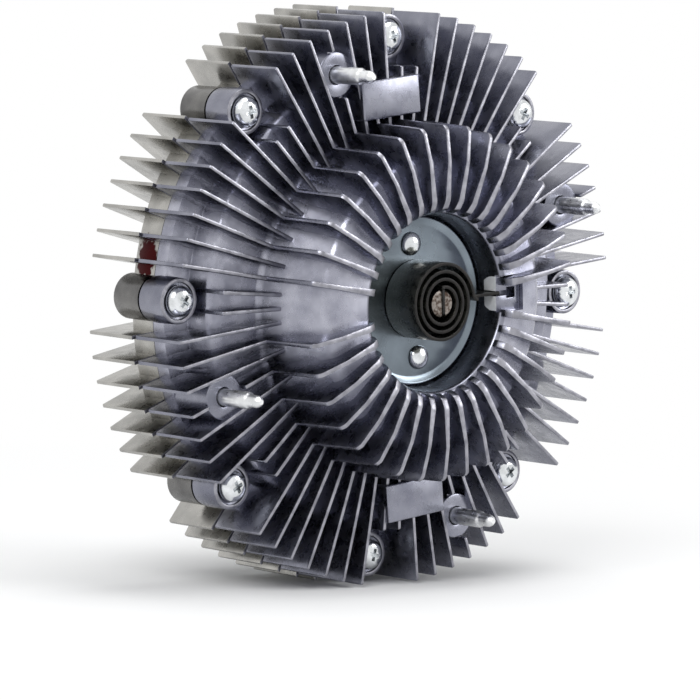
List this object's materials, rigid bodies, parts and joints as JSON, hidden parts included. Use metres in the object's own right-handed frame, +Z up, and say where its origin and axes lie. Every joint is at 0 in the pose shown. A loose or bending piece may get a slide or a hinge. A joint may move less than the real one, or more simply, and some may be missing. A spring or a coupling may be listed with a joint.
{
  "type": "viscous fan clutch",
  "caption": "Viscous fan clutch: a finned round housing that spins on a flanged drive shaft, with studs for a fan and a bimetal coil in a bowl in its face.",
  "frame": {"origin": "centre of the rear face of the drive shaft's flange, on the axis of rotation", "axes": "+Y along the axis of rotation and out of the drive flange's rear face, so the coil and the fan studs face -Y; +X is to the right and +Z up as the clutch is seen from its coil side, with one cover screw straight up"},
  "size_m": [0.2034, 0.097, 0.2034],
  "materials": {
    "cast_aluminium": "die-cast, slightly rough",
    "zinc_plate": "zinc-plated sheet",
    "bright_zinc": "bright zinc plating",
    "black_strip": "blackened strip",
    "turned_steel": "turned",
    "bearing_steel": "ground",
    "brass": "pressed",
    "rubber": "matt"
  },
  "bodies": {
    "drive": {"drive_shaft": "turned_steel", "bearing_inner_race": "bearing_steel", "rotor": "cast_aluminium"},
    "housing": {"front_cover": "cast_aluminium", "rear_housing": "cast_aluminium", "seal_ring": "rubber", "reservoir_plate": "zinc_plate", "centre_plate": "zinc_plate", "bimetal_coil": "black_strip", "plate_rivet_1": "bright_zinc", "plate_rivet_2": "bright_zinc", "cover_screw_1": "bright_zinc", "cover_screw_2": "bright_zinc", "cover_screw_3": "bright_zinc", "cover_screw_4": "bright_zinc", "cover_screw_5": "bright_zinc", "cover_screw_6": "bright_zinc", "cover_screw_7": "bright_zinc", "cover_screw_8": "bright_zinc", "fan_stud_1": "bright_zinc", "fan_stud_2": "bright_zinc", "fan_stud_3": "bright_zinc", "fan_stud_4": "bright_zinc", "bearing_outer_race": "bearing_steel", "bearing_shield_front": "rubber", "bearing_shield_rear": "rubber"},
    "cage_set": {"bearing_cage": "brass", "bearing_ball_1": "bearing_steel", "bearing_ball_2": "bearing_steel", "bearing_ball_3": "bearing_steel", "bearing_ball_4": "bearing_steel", "bearing_ball_5": "bearing_steel", "bearing_ball_6": "bearing_steel", "bearing_ball_7": "bearing_steel", "bearing_ball_8": "bearing_steel", "bearing_ball_9": "bearing_steel"},
    "valve": {"valve_shaft": "turned_steel", "valve_arm": "zinc_plate", "shaft_ring": "rubber"}
  },
  "joints": [
    {"name": "housing_spin", "type": "hinge", "parent": "drive", "child": "housing", "pos_m": [0, 0, 0], "axis": [0, 1, 0], "continuous": true},
    {"name": "cage_spin", "type": "hinge", "parent": "drive", "child": "cage_set", "pos_m": [0, 0, 0], "axis": [0, 1, 0], "continuous": true},
    {"name": "valve_turn", "type": "hinge", "parent": "housing", "child": "valve", "pos_m": [0, -0.0535, 0], "axis": [0, -1, 0], "range_deg": [0, 60], "stiffness_Nm_per_rad": 0.02, "deforming": ["bimetal_coil"]}
  ],
  "couplings": [
    {"joint": "cage_spin", "follows": "housing_spin", "ratio": 0.603}
  ]
}
